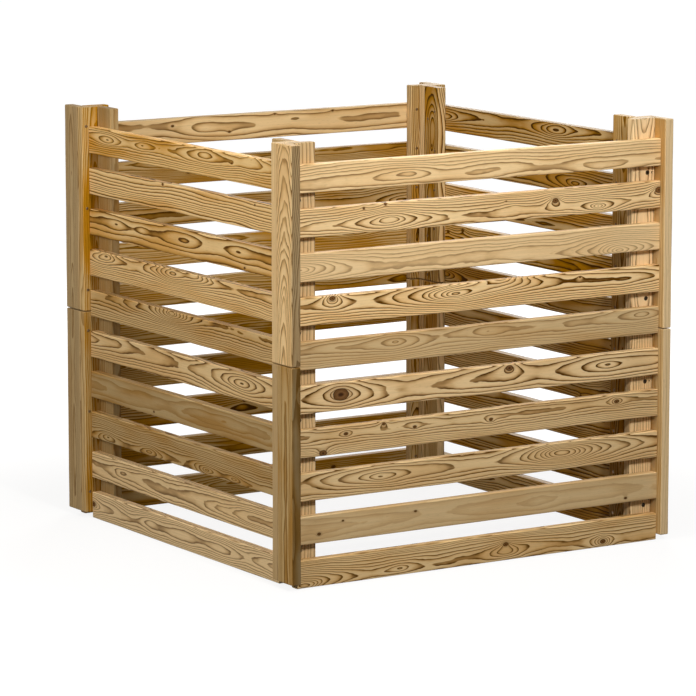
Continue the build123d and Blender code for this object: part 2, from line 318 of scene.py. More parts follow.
def tube(grid):
    """A closed tube from a grid of points, ring by ring: quads between rings, a flat face on each end."""
    rings, around = grid.shape[:2]
    ring, place = np.indices((rings - 1, around))
    following = (place + 1) % around
    quads = np.stack((ring * around + place, ring * around + following,
                      (ring + 1) * around + following, (ring + 1) * around + place), axis=-1)
    first = np.arange(around)[::-1]
    last = np.arange(around) + (rings - 1) * around
    sizes = np.concatenate((np.full(quads.size // 4, 4), (around, around)))
    return Shape(grid.reshape(-1, 3), np.concatenate((quads.ravel(), first, last)), sizes)


def lathe(radii, depths, sides):
    """A tube turned about Z: ring i has radius radii[i] at every angle and lies depths[i] along +Z."""
    angles = np.arange(sides) * 2 * math.pi / sides
    radii, depths = (np.asarray(values, float).reshape(len(values), -1) for values in (radii, depths))
    x, y, z = np.broadcast_arrays(radii * np.cos(angles), radii * np.sin(angles), depths + 0 * angles)
    return tube(np.stack((x, y, z), axis=-1))


def joined(shapes):
    """Several shapes as one."""
    counts = [len(shape.points) for shape in shapes]
    starts = np.cumsum([0] + counts[:-1])
    corners = [shape.corners + start for shape, start in zip(shapes, starts)]
    return Shape(np.concatenate([shape.points for shape in shapes]), np.concatenate(corners),
                 np.concatenate([shape.sizes for shape in shapes]))


def copies(shape, origins, directions, spins=0.0):
    """Copies of a shape, its +Z turned to one or each direction, after a spin about its own axis."""
    number = len(origins)
    directions = np.broadcast_to(directions, (number, 3))
    spins = np.broadcast_to(spins, number)[:, None]
    first = np.cross(UP, directions) * np.cos(spins) + UP * np.sin(spins)
    basis = np.stack((first, np.cross(directions, first), directions), axis=1)
    points = origins[:, None] + np.einsum("pk,nkd->npd", shape.points, basis)
    corners = shape.corners + len(shape.points) * np.arange(number)[:, None]
    return Shape(points.reshape(-1, 3), corners.ravel(), np.tile(shape.sizes, number))


# A board's section: steps around a rounded edge, and where further points lie on each flat
ARC_STEPS = 4
FLAT_PLACES = (0.035, 0.35, 0.65, 0.965)
# Distance of the first full section from a board's end, in easings
FULL_SECTION = 3
LEAST_SECTIONS = 4
# Waves in a board's length: two in its faces, two in its edges, of which the second is weaker
FACE_WAVES = (2.3, 5.1)
EDGE_WAVES = (0.5, 1.7)
SECOND_EDGE_WAVE = 0.4


def sawn_board(board, name):
    """A planed board: a rounded rectangle carried along the length, eased at both sawn ends.

    At a distance s along the board the section is drawn in by the easing at the very ends, its faces
    breathe in by a slow sine of s, and its middle wanders up and down by another; the section is
    narrower by as much as it wanders, so that the board stays inside its limits.
    """
    values = settings().boards
    length, width, thickness = board_spans(board)
    luck = draws(name)
    anchors, normals = rounded_section(width, thickness, values.edge_radius, ARC_STEPS, FLAT_PLACES)
    easing = board.easing
    steps = max(int(length / values.section_step), LEAST_SECTIONS)
    middle = np.linspace(FULL_SECTION * easing, length - FULL_SECTION * easing, steps)
    along = np.concatenate(((0.0, easing), middle, (length - easing, length)))
    inset = np.zeros_like(along)
    inset[[0, -1]] = easing
    starts = luck.uniform(0, 2 * math.pi, len(FACE_WAVES + EDGE_WAVES))
    turns = along / length * 2 * math.pi
    face, second_face, edge, second_edge = (
        np.sin(turns * waves + start) for waves, start in zip(FACE_WAVES + EDGE_WAVES, starts))
    breath = values.unevenness * (2 + face + second_face) / 4
    wander = values.sway * (edge + SECOND_EDGE_WAVE * second_edge) / (1 + SECOND_EDGE_WAVE)
    reach = values.edge_radius - inset - breath
    section = anchors + reach[:, None, None] * normals
    across = section[..., 0] * (1 - 2 * values.sway / width) + wander[:, None] + width / 2
    distance = np.broadcast_to(along[:, None], across.shape)
    local = np.stack((distance, across, section[..., 1] - thickness / 2), axis=-1)
    return tube(board_start(board) + local @ board_axes(board))


SHARP_ANGLE = math.radians(35)


def new_object(name, shape):
    """A smooth-shaded mesh object at the origin, with edges over the sharp angle kept sharp."""
    mesh = bpy.data.meshes.new(name)
    mesh.vertices.add(len(shape.points))
    mesh.vertices.foreach_set("co", shape.points.astype(np.float32).ravel())
    mesh.loops.add(len(shape.corners))
    mesh.loops.foreach_set("vertex_index", shape.corners.astype(np.int32))
    mesh.polygons.add(len(shape.sizes))
    mesh.polygons.foreach_set("loop_start", (np.cumsum(shape.sizes) - shape.sizes).astype(np.int32))
    mesh.polygons.foreach_set("use_smooth", np.ones(len(shape.sizes), dtype=bool))
    mesh.update(calc_edges=True)
    mesh.validate()
    mesh.set_sharp_from_angle(angle=SHARP_ANGLE)
    made = bpy.data.objects.new(name, mesh)
    bpy.context.scene.collection.objects.link(made)
    return made


def bored(shape, cutter):
    """A closed shape less another one."""
    body = new_object("bored_body", shape)
    drill = new_object("bored_cutter", cutter)
    cut = body.modifiers.new("holes", "BOOLEAN")
    cut.operation = "DIFFERENCE"
    cut.solver = "EXACT"
    cut.object = drill
    mesh = bpy.data.meshes.new_from_object(body.evaluated_get(bpy.context.evaluated_depsgraph_get()))
    points = np.empty(len(mesh.vertices) * 3)
    corners = np.empty(len(mesh.loops), dtype=np.int32)
    sizes = np.empty(len(mesh.polygons), dtype=np.int32)
    mesh.vertices.foreach_get("co", points)
    mesh.loops.foreach_get("vertex_index", corners)
    mesh.polygons.foreach_get("loop_total", sizes)
    spare_meshes = [body.data, drill.data, mesh]
    for spare in (body, drill):
        bpy.data.objects.remove(spare)
    for spare in spare_meshes:
        bpy.data.meshes.remove(spare)
    return Shape(points.reshape(-1, 3), corners, sizes)


def smooth_line(values, places):
    """A smooth curve through equally spaced values, at places from 0 to 1.

    Between two values it is the cubic whose slopes come from their neighbours.
    """
    values = np.asarray(values, float)
    padded = np.concatenate((2 * values[:1] - values[1:2], values, 2 * values[-1:] - values[-2:-1]))
    position = np.clip(places, 0, 1) * (len(values) - 1)
    index = np.minimum(position.astype(int), len(values) - 2)
    part = position - index
    a, b, c, d = (padded[index + step] for step in range(4))
    return b + part / 2 * (c - a + part * (2 * a - 5 * b + 4 * c - d + part * (3 * (b - c) + d - a)))


# In mm from a long edge or the inner face: where its painted highlight or painted shade ends, and over what
# distance it fades
EDGE_REACH = 1.6
EDGE_FADE = 0.8
# How far the tone of a sawn end reaches, in mm
END_REACH = 0.2
# A bored hole's lip, in mm, and how far down it the painted shade inside the hole begins
HOLE_LIP = 1.6
HOLE_PAINTED_SHADE_DEPTH = 0.8 * HOLE_LIP
# Limits of the seed that sets a board's noise apart from other boards'
NOISE_SEED = (0.0, 50.0)
NO_SPOT = (0.0, 0.0, 0.0, 0.0)


def board_tones(board, along, up, depth):
    """Tone and warmth at every point of a board, from its distances in mm to the edges, faces and ends,
    painted highlight and painted shade included.
    """
    timber = board.timber
    values = settings().wood
    length, width, thickness = board_spans(board) / MM
    on_lower, on_upper, on_back = (
        np.clip((EDGE_REACH - inside) / EDGE_FADE, 0, 1) for inside in (up, width - up, thickness + depth))
    on_back = on_back * (1 - on_lower) * (1 - on_upper)
    on_end = np.clip(1 - np.minimum(along, length - along) / END_REACH, 0, 1)
    sunk = np.min((along, length - along, up, width - up, -depth, thickness + depth), axis=0)
    # The edge tones: on a slat a painted highlight or painted shade, on a corner cover the wood's own tone.
    tone = timber.tone + timber.edges[0] * on_lower + timber.edges[1] * on_upper
    # Painted shade: the inner face gets darker and warmer and the inside of a bored hole dark; the sawn
    # ends get the end grain's own darker tone.
    tone = tone + values.inner_painted_shade * on_back + values.end_tone * on_end
    tone = tone + values.hole_painted_shade * (sunk > HOLE_PAINTED_SHADE_DEPTH)
    return tone, timber.warmth + values.inner_painted_shade_warmth * on_back


def grain_of(board, points, name):
    """What the wood material reads at every point of a board, in mm.

    grain is the place along, up and in depth; pith is the pith line's height and distance behind the
    face at that length, with the board's own seed; timber is ring width, contrast, tone and warmth,
    the tone shifted by a painted highlight or painted shade on the two long edges, by painted shade on
    the inner face and inside bored holes, and at the sawn ends by the end grain's own tone, and the
    warmth on the inner face raised as part of its painted shade; knots and islands are the same all over.
    """
    timber = board.timber
    local = (points - board_start(board)) @ board_axes(board).T / MM
    along, up, depth = local.T
    same = np.ones(len(points))
    share = along / (board_spans(board)[0] / MM)
    pith = (smooth_line(timber.across, share), smooth_line(timber.behind, share),
            draws(name).uniform(*NOISE_SEED) * same)
    cut = (timber.ring * same, timber.contrast * same, *board_tones(board, along, up, depth))
    values = {"grain": local, "pith": np.stack(pith, axis=1), "timber": np.stack(cut, axis=1)}
    for kind, spots, most in (("knot", timber.knots, KNOTS), ("island", timber.islands, ISLANDS)):
        for index, spot in enumerate(tuple(spots) + (NO_SPOT,) * (most - len(spots))):
            values[f"{kind}_{index + 1}"] = np.tile(spot, (len(points), 1))
    return values


def finish_piece(made, material, body, nodes):
    """Gives a piece its material and its place in the frame."""
    made.data.materials.append(material)
    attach(made, body)
    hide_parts(*nodes)


def board_piece(name, boards, body, nodes, material):
    """One piece made of one or more boards, with the values of their grain stored on its mesh."""
    shapes, values = [], []
    for index, board in enumerate(boards):
        tag = f"{name}.{index}"
        shape = sawn_board(board, tag)
        if board.cutter is not None:
            shape = bored(shape, board.cutter)
        shapes.append(shape)
        values.append(grain_of(board, shape.points, tag))
    made = new_object(name, joined(shapes))
    for key in values[0]:
        data = np.concatenate([value[key] for value in values]).astype(np.float32)
        kind, field = ("FLOAT_VECTOR", "vector") if data.shape[1] == 3 else ("FLOAT_COLOR", "color")
        made.data.attributes.new(key, kind, "POINT").data.foreach_set(field, data.ravel())
    finish_piece(made, material, body, nodes)


class Formula:
    """Writes a node tree as a formula: each method adds nodes and hands back what comes out of them."""

    # Layout of the nodes: rows in a column, and the distance between two nodes
    ROWS = 9
    STEP = 220
    # Sockets of a colour mix node
    MIX_FACTOR = 0
    MIX_FIRST = 6
    MIX_SECOND = 7
    MIX_RESULT = 2

    def __init__(self, tree):
        self.tree = tree
        self.count = 0

    def node(self, kind, **choices):
        node = self.tree.nodes.new(kind)
        for key, value in choices.items():
            setattr(node, key, value)
        node.location = (self.STEP * (self.count // self.ROWS), -self.STEP * (self.count % self.ROWS))
        self.count += 1
        return node

    def feed(self, socket, value):
        """Links an output to a socket, or sets a plain value on it."""
        if isinstance(value, bpy.types.NodeSocket):
            self.tree.links.new(value, socket)
        else:
            socket.default_value = value

    def math(self, operation, *values):
        node = self.node("ShaderNodeMath", operation=operation)
        for socket, value in zip(node.inputs, values):
            self.feed(socket, value)
        return node.outputs[0]

    def fold(self, operation, values):
        """All values put together by one operation."""
        result = values[0]
        for value in values[1:]:
            result = self.math(operation, result, value)
        return result

    def distance(self, x, y):
        """The square root of x * x + y * y."""
        squares = self.math("ADD", self.math("MULTIPLY", x, x), self.math("MULTIPLY", y, y))
        return self.math("SQRT", squares)

    def swing(self, noise, amount, middle):
        """The middle, shifted by the amount times noise - 0.5."""
        return self.math("MULTIPLY_ADD", self.math("SUBTRACT", noise, 0.5), amount, middle)

    def split(self, vector):
        node = self.node("ShaderNodeSeparateXYZ")
        self.feed(node.inputs[0], vector)
        return node.outputs

    def join(self, x, y, z):
        node = self.node("ShaderNodeCombineXYZ")
        for socket, value in zip(node.inputs, (x, y, z)):
            self.feed(socket, value)
        return node.outputs[0]

    def scaled(self, vector, factors):
        node = self.node("ShaderNodeVectorMath", operation="MULTIPLY")
        self.feed(node.inputs[0], vector)
        self.feed(node.inputs[1], factors)
        return node.outputs[0]

    def ease(self, value, limits):
        """0 at the first limit, 1 at the second, with a smooth step between them."""
        start, end = limits
        node = self.node("ShaderNodeMapRange", interpolation_type="SMOOTHSTEP")
        self.feed(node.inputs["Value"], value)
        flip = end < start
        self.feed(node.inputs["From Min"], end if flip else start)
        self.feed(node.inputs["From Max"], start if flip else end)
        self.feed(node.inputs["To Min"], 1.0 if flip else 0.0)
        self.feed(node.inputs["To Max"], 0.0 if flip else 1.0)
        return node.outputs[0]

    def tint(self, factor, first, second):
        """The first colour, covered by the second as far as the factor says."""
        node = self.node("ShaderNodeMix", data_type="RGBA")
        self.feed(node.inputs[self.MIX_FACTOR], factor)
        self.feed(node.inputs[self.MIX_FIRST], first)
        self.feed(node.inputs[self.MIX_SECOND], second)
        return node.outputs[self.MIX_RESULT]

    def pattern(self, vector, pattern, seed):
        """Noise of the pattern's scale and detail."""
        return self.noise(self.scaled(vector, pattern.scale), seed, pattern.detail)

    def row(self, value, seed):
        """Smooth noise along a single value."""
        return self.noise(self.join(value, 0.0, 0.0), seed, 0.0)

    def noise(self, vector, seed, detail):
        node = self.node("ShaderNodeTexNoise", noise_dimensions="4D")
        self.feed(node.inputs["Vector"], vector)
        self.feed(node.inputs["W"], seed)
        self.feed(node.inputs["Scale"], 1.0)
        self.feed(node.inputs["Detail"], detail)
        return node.outputs[0]

    def attribute(self, name):
        return self.node("ShaderNodeAttribute", attribute_type="GEOMETRY", attribute_name=name).outputs

    def group(self, tree, values):
        """A node group with values for its sockets, by their names."""
        node = self.node("ShaderNodeGroup")
        node.node_tree = tree
        for key, value in values.items():
            self.feed(node.inputs[key], value)
        return node.outputs


SOCKETS = {"value": "NodeSocketFloat", "colour": "NodeSocketColor", "vector": "NodeSocketVector"}


def new_group(name, inputs, outputs):
    """An empty shader group with named sockets, its input node's outputs, and its output node."""
    tree = bpy.data.node_groups.new(name, "ShaderNodeTree")
    for direction, names in (("INPUT", inputs), ("OUTPUT", outputs)):
        for socket, kind in names.items():
            tree.interface.new_socket(name=socket, in_out=direction, socket_type=SOCKETS[kind])
    formula = Formula(tree)
    return formula, formula.node("NodeGroupInput").outputs, formula.node("NodeGroupOutput").inputs


# Swell around a knot or an island: its reach in radii, how round its tip is, and the least radius in mm
SWELL_REACH = 1.6
SWELL_TIP = 0.12
LEAST_RADIUS = 0.01


def swirl_group():
    """How far the rings swell around a knot or an island.

    Distance is measured in radii, shortened along the board by the stretch; the swell is
    radius * strength * exp(-distance / reach), with its tip rounded off.
    """
    formula, given, result = new_group(
        "Swirl in the grain",
        {"Along": "value", "Up": "value", "Spot": "colour", "Strength": "value", "Stretch": "value"},
        {"Distance": "value", "Swell": "value"})
    spot_along, spot_up, radius = formula.split(given["Spot"])
    offset_along = formula.math("SUBTRACT", given["Along"], spot_along)
    offset_along = formula.math("DIVIDE", offset_along, given["Stretch"])
    offset_up = formula.math("SUBTRACT", given["Up"], spot_up)
    safe_radius = formula.math("MAXIMUM", radius, LEAST_RADIUS)
    distance = formula.math("DIVIDE", formula.distance(offset_along, offset_up), safe_radius)
    rounded = formula.math("SQRT", formula.math("MULTIPLY_ADD", distance, distance, SWELL_TIP))
    fall = formula.math("EXPONENT", formula.math("DIVIDE", rounded, -SWELL_REACH))
    swell = formula.math("MULTIPLY", fall, formula.math("MULTIPLY", radius, given["Strength"]))
    formula.feed(result["Distance"], distance)
    formula.feed(result["Swell"], swell)
    return formula.tree


# Noise in a board: steps per mm along, up and in depth, and detail
Pattern = namedtuple("Pattern", "scale detail")
WAVE = Pattern((0.009, 0.03, 0.03), 1.0)
TREMBLE = Pattern((0.045, 0.14, 0.14), 1.0)
FIBRE = Pattern((0.012, 0.45, 0.45), 4.0)
PATCH = Pattern((0.006, 0.03, 0.03), 1.0)
FLECK = Pattern((0.10, 0.9, 0.9), 0.0)
# How far the noise shifts the rings: waves and tremble in mm, uneven widths in rings, with their noise
# in steps per ring
WAVE_SHIFT = 9.0
TREMBLE_SHIFT = 1.6
UNEVEN_SHIFT = 1.6
UNEVEN_STEP = 0.4
# How many times longer than high the swirl around a spot is
STRETCH = {"knot": 1.5, "island": 3.2}
# Within a ring, from 0 to 1: where its warm, brown and dark parts rise, and where the dark falls back
WARM_PART = (0.1, 0.85)
BROWN_PART = (0.38, 0.80)
DARK_PART = (0.66, 0.90)
LAST_PART = (1.0, 0.95)
WARM_SHARE = 0.55
BROWN_SHARE = 0.62
# Strength of a ring's lines: the least, and what chance adds
LEAST_LINE = 0.55
CHANCE_LINE = 0.9
# Slope of the rings to the face, 0 flat and 1 upright: where lines lie close and lose strength, where
# they grow crisp, and how much steeper the swell of a spot makes them
CLOSE_SLOPE = (0.70, 0.98)
CLOSE_LOSS = -0.35
CRISP_SLOPE = (0.04, 0.36)
LEAST_CRISP = 0.4
SWELL_SLOPE = 0.06
# Warm patches, dark flecks and fibres: where in the noise they rise, and how much they shade
PATCH_RISE = (0.42, 0.75)
FLECK_RISE = (0.66, 0.76)
FLECK_SHADE = -0.12
FIBRE_SHADE = 0.36
# Knots, in radii from their middle: halo, edge, dark rim and dark heart, rings, and a ragged outline
KNOT_HALO = (2.2, 0.9)
KNOT_HALO_SHARE = 0.3
KNOT_EDGE = (1.05, 0.9)
KNOT_RIM = (0.68, 0.95)
KNOT_HEART = (0.45, 0.1)
KNOT_RINGS = 2.7
KNOT_RING_SHARE = 0.5
KNOT_RAGGED = 0.5
# Colour strength and roughness: the plain value, and what warmth, fibres and dark lines add
PLAIN_SATURATION = 0.96
WARM_SATURATION = 0.16
PLAIN_ROUGHNESS = 0.50
FIBRE_ROUGHNESS = 0.22
LINE_ROUGHNESS = -0.08
# How high fibres, dark lines and knots stand
FIBRE_HEIGHT = 0.6
LINE_HEIGHT = 0.5
KNOT_HEIGHT = 0.4


def ring_turns(formula, swirl, grain, pith, ring):
    """How many rings lie between a point and the pith.

    The radius is the distance from the pith line, made wavy by noise, less the swell around each knot
    and island; over the ring width it counts the rings, some of them broader than others. Also hands
    back the rings' slope to the face, the swell, the tremble and the distance from the nearest knot.
    """
    along, up, depth = formula.split(grain)
    across, behind, seed = pith
    side = formula.math("SUBTRACT", up, across)
    radius = formula.distance(side, formula.math("ADD", depth, behind))
    tremble = formula.pattern(grain, TREMBLE, seed)
    waves = formula.swing(formula.pattern(grain, WAVE, seed), WAVE_SHIFT, 0.0)
    waves = formula.swing(tremble, TREMBLE_SHIFT, waves)
    swirls = {"knot": [], "island": []}
    for kind, most in (("knot", KNOTS), ("island", ISLANDS)):
        for index in range(most):
            spot = formula.attribute(f"{kind}_{index + 1}")
            swirls[kind].append(formula.group(swirl, {
                "Along": along, "Up": up, "Spot": spot["Color"], "Strength": spot["Alpha"],
                "Stretch": STRETCH[kind]}))
    swell = formula.fold("ADD", [each["Swell"] for each in swirls["knot"] + swirls["island"]])
    nearest = formula.fold("MINIMUM", [each["Distance"] for each in swirls["knot"]])
    swollen = formula.math("SUBTRACT", formula.math("ADD", radius, waves), swell)
    turns = formula.math("DIVIDE", swollen, ring)
    uneven = formula.row(formula.math("MULTIPLY", turns, UNEVEN_STEP), seed)
    turns = formula.swing(uneven, UNEVEN_SHIFT, turns)
    safe_radius = formula.math("MAXIMUM", radius, LEAST_RADIUS)
    slope = formula.math("DIVIDE", formula.math("ABSOLUTE", side), safe_radius)
    return turns, slope, swell, tremble, nearest


def ring_lines(formula, turns, slope, swell, contrast, seed):
    """Place within the ring from 0 to 1, and how brown and how dark the ring is there."""
    phase = formula.math("FRACT", turns)
    chance = formula.row(formula.math("FLOOR", turns), seed)
    strength = formula.math("MULTIPLY_ADD", chance, CHANCE_LINE, LEAST_LINE)
    close = formula.math("MULTIPLY_ADD", formula.ease(slope, CLOSE_SLOPE), CLOSE_LOSS, 1.0)
    strength = formula.fold("MULTIPLY", (strength, contrast, close, formula.ease(phase, LAST_PART)))
    brown = formula.math("MULTIPLY", formula.ease(phase, BROWN_PART), strength)
    steeper = formula.math("MULTIPLY_ADD", swell, SWELL_SLOPE, slope)
    crisp = formula.math("MULTIPLY_ADD", formula.ease(steeper, CRISP_SLOPE), 1.0 - LEAST_CRISP, LEAST_CRISP)
    dark = formula.fold("MULTIPLY", (formula.ease(phase, DARK_PART), strength, crisp))
    return phase, brown, formula.math("MINIMUM", dark, 1.0)


def knot_tint(formula, colour, nearest, tremble, given):
    """The colour with a brown halo and a ringed knot laid over it, and the mask of the knot."""
    ragged = formula.swing(tremble, KNOT_RAGGED, nearest)
    halo = formula.math("MULTIPLY", formula.ease(ragged, KNOT_HALO), KNOT_HALO_SHARE)
    colour = formula.tint(halo, colour, given["Knot wood"])
    knot = formula.ease(ragged, KNOT_EDGE)
    rings = formula.math("FRACT", formula.math("MULTIPLY", ragged, KNOT_RINGS))
    rings = formula.math("MULTIPLY", rings, KNOT_RING_SHARE)
    rim = formula.ease(ragged, KNOT_RIM)
    dark = formula.fold("MAXIMUM", (rim, rings, formula.ease(ragged, KNOT_HEART)))
    knot_colour = formula.tint(dark, given["Knot wood"], given["Knot rim"])
    return formula.tint(knot, colour, knot_colour), knot


def board_group(swirl):
    """The colour, roughness and height of a sawn softwood board.

    Each ring runs from pale earlywood over warm wood to a dark latewood line and falls back sharply, as
    the growth of a year does. Where the rings lie nearly flat in the face the line is broad and stays
    paler, and where they stand upright in it the lines are close and soft.
    """
    formula, given, result = new_group(
        "Sawn softwood",
        {"Earlywood": "colour", "Heartwood": "colour", "Summerwood": "colour", "Latewood": "colour",
         "Knot wood": "colour", "Knot rim": "colour"},
        {"Color": "colour", "Roughness": "value", "Height": "value"})
    grain = formula.attribute("grain")["Vector"]
    pith = formula.split(formula.attribute("pith")["Vector"])
    seed = pith[2]
    timber = formula.attribute("timber")
    ring, contrast, tone = formula.split(timber["Color"])
    warmth = timber["Alpha"]
    turns, slope, swell, tremble, nearest = ring_turns(formula, swirl, grain, pith, ring)
    phase, brown, line = ring_lines(formula, turns, slope, swell, contrast, seed)
    fibre, patch, fleck = (formula.pattern(grain, pattern, seed) for pattern in (FIBRE, PATCH, FLECK))

    ripe = formula.math("MULTIPLY_ADD", formula.ease(phase, WARM_PART), WARM_SHARE,
                        formula.ease(patch, PATCH_RISE))
    ripe = formula.math("MINIMUM", ripe, 1.0)
    warm = formula.math("MULTIPLY", ripe, formula.math("MAXIMUM", warmth, 0.0))
    colour = formula.tint(warm, given["Earlywood"], given["Heartwood"])
    colour = formula.tint(formula.math("MULTIPLY", brown, BROWN_SHARE), colour, given["Summerwood"])
    colour = formula.tint(line, colour, given["Latewood"])
    colour, knot = knot_tint(formula, colour, nearest, tremble, given)

    shade = formula.node("ShaderNodeHueSaturation")
    brightness = formula.swing(fibre, FIBRE_SHADE, 1.0)
    brightness = formula.math("MULTIPLY_ADD", formula.ease(fleck, FLECK_RISE), FLECK_SHADE, brightness)
    # The tone carries the wood's own tone and also the painted highlight and painted shade of the board
    # tones.
    brightness = formula.math("MULTIPLY", formula.math("ADD", tone, 1.0), brightness)
    saturation = formula.math("MULTIPLY_ADD", warmth, WARM_SATURATION, PLAIN_SATURATION)
    formula.feed(shade.inputs["Value"], brightness)
    formula.feed(shade.inputs["Saturation"], saturation)
    formula.feed(shade.inputs["Color"], colour)
    rough = formula.math("MULTIPLY_ADD", fibre, FIBRE_ROUGHNESS, PLAIN_ROUGHNESS)
    rough = formula.math("MULTIPLY_ADD", line, LINE_ROUGHNESS, rough)
    height = formula.math("MULTIPLY_ADD", fibre, FIBRE_HEIGHT, formula.math("MULTIPLY", line, LINE_HEIGHT))
    height = formula.math("MULTIPLY_ADD", knot, KNOT_HEIGHT, height)
    formula.feed(result["Color"], shade.outputs[0])
    formula.feed(result["Roughness"], rough)
    formula.feed(result["Height"], height)
    return formula.tree


# Tarnish: noise over the object in steps per metre, the share of each, and where blotches rise
LARGE_BLOTCH = Pattern((300.0, 300.0, 300.0), 3.0)
SMALL_BLOTCH = Pattern((1900.0, 1900.0, 1900.0), 2.0)
LARGE_SHARE = 0.7
SMALL_SHARE = 0.3
BLOTCH_RISE = (0.38, 0.66)
CLEAN_ROUGHNESS = 0.32
STAIN_ROUGHNESS = 0.25


def tarnish_group():
    """Blotches on metal: large and small noise over the object's own coordinates, added up."""
    formula, given, result = new_group(
        "Tarnish", {"Clean": "colour", "Stained": "colour"},
        {"Color": "colour", "Roughness": "value", "Height": "value"})
    place = formula.node("ShaderNodeTexCoord").outputs["Object"]
    large, small = (formula.pattern(place, pattern, 0.0) for pattern in (LARGE_BLOTCH, SMALL_BLOTCH))
    blotch = formula.math("MULTIPLY_ADD", large, LARGE_SHARE, formula.math("MULTIPLY", small, SMALL_SHARE))
    mask = formula.ease(blotch, BLOTCH_RISE)
    formula.feed(result["Color"], formula.tint(mask, given["Clean"], given["Stained"]))
    rough = formula.math("MULTIPLY_ADD", mask, STAIN_ROUGHNESS, CLEAN_ROUGHNESS)
    formula.feed(result["Roughness"], rough)
    formula.feed(result["Height"], small)
    return formula.tree


def shared_group(name, maker, *parts):
    """A node group by name, built on first use."""
    return bpy.data.node_groups.get(name) or maker(*parts)


# A finish: strength and depth of its bump, and constants for the shader's other sockets
Finish = namedtuple("Finish", "bump_strength bump_depth constants")
WOOD_FINISH = Finish(0.35, 0.4 * MM, {"Specular IOR Level": 0.05})
METAL_FINISH = Finish(0.2, 0.2 * MM, {"Metallic": 0.9})


def dressed_material(name, group, colours, finish):
    """A material by name, built on first use: a group feeds the shader's colour, roughness and bump."""
    if name in bpy.data.materials:
        return bpy.data.materials[name]
    material = bpy.data.materials.new(name)
    material.use_nodes = True
    shader = material.node_tree.nodes["Principled BSDF"]
    formula = Formula(material.node_tree)
    looks = formula.group(group, {socket: (*colour, 1.0) for socket, colour in colours.items()})
    bump = formula.node("ShaderNodeBump")
    formula.feed(bump.inputs["Strength"], finish.bump_strength)
    formula.feed(bump.inputs["Distance"], finish.bump_depth)
    formula.feed(bump.inputs["Height"], looks["Height"])
    formula.feed(shader.inputs["Base Color"], looks["Color"])
    formula.feed(shader.inputs["Roughness"], looks["Roughness"])
    formula.feed(shader.inputs["Normal"], bump.outputs[0])
    for socket, value in finish.constants.items():
        formula.feed(shader.inputs[socket], value)
    return material


def wood(name):
    """The slat or upright wood in the panel's colours."""
    values = settings().wood
    swirl = shared_group("Swirl in the grain", swirl_group)
    group = shared_group("Sawn softwood", board_group, swirl)
    colours = {
        "Earlywood": values.earlywood, "Heartwood": values.heartwood, "Summerwood": values.summerwood,
        "Latewood": values.latewood, "Knot wood": values.knot_wood, "Knot rim": values.knot_rim}
    return dressed_material(name, group, colours, WOOD_FINISH)


def metal(name, clean, stained):
    """Tarnished nail or screw steel."""
    group = shared_group("Tarnish", tarnish_group)
    return dressed_material(name, group, {"Clean": clean, "Stained": stained}, METAL_FINISH)


class BoardSettings(bpy.types.PropertyGroup):
    edge_radius: FloatProperty(
        name="Edge radius", description="Rounding of the long edges of every board",
        default=1.8 * MM, unit="LENGTH")
    # Painted shade: the lower edge of every slat is made darker, as the shade under it would make it.
    lower_edge_painted_shade: FloatProperty(
        name="Lower edge tone", description="How much paler a slat's lower edge is than its face",
        default=-0.12)
    # Painted highlight: the upper edge of a front or left slat is made paler, as light from above would
    # make it.
    upper_edge_painted_highlight: FloatProperty(
        name="Upper edge tone", description="How much paler a slat's upper edge is than its face",
        default=0.38)
    # Painted shade: the upper edge of a rear or right slat is made darker instead of paler.
    far_edge_painted_shade: FloatProperty(
        name="Far edge tone", description="The same for the upper edges of the rear and right slats",
        default=-0.30)
    slat_easing: FloatProperty(
        name="Slat easing", description="Width of the broken edge around a slat's sawn end",
        default=0.6 * MM, unit="LENGTH")
    upright_easing: FloatProperty(
        name="Upright easing", description="Width of the broken edge around an upright's sawn end",
        default=1.2 * MM, unit="LENGTH")
    upright_gap: FloatProperty(
        name="Upright gap", description="How far an upright stops short of its upper end",
        default=1.6 * MM, unit="LENGTH")
    section_step: FloatProperty(
        name="Section step", description="Distance between two sections along a board",
        default=20 * MM, unit="LENGTH")
    unevenness: FloatProperty(
        name="Unevenness", description="How far the planed faces breathe",
        default=0.25 * MM, unit="LENGTH")
    sway: FloatProperty(
        name="Sway", description="How far the long edges wander",
        default=0.35 * MM, unit="LENGTH")
    upright_width: FloatProperty(
        name="Upright width", description="Width of the battens and posts",
        default=47 * MM, unit="LENGTH")
    slat_lean: FloatProperty(
        name="Slat lean", description="How far the pith of a slat leans from end to end, in mm",
        default=8.0)
    upright_lean: FloatProperty(
        name="Upright lean", description="How far the pith of an upright leans from end to end, in mm",
        default=34.0)


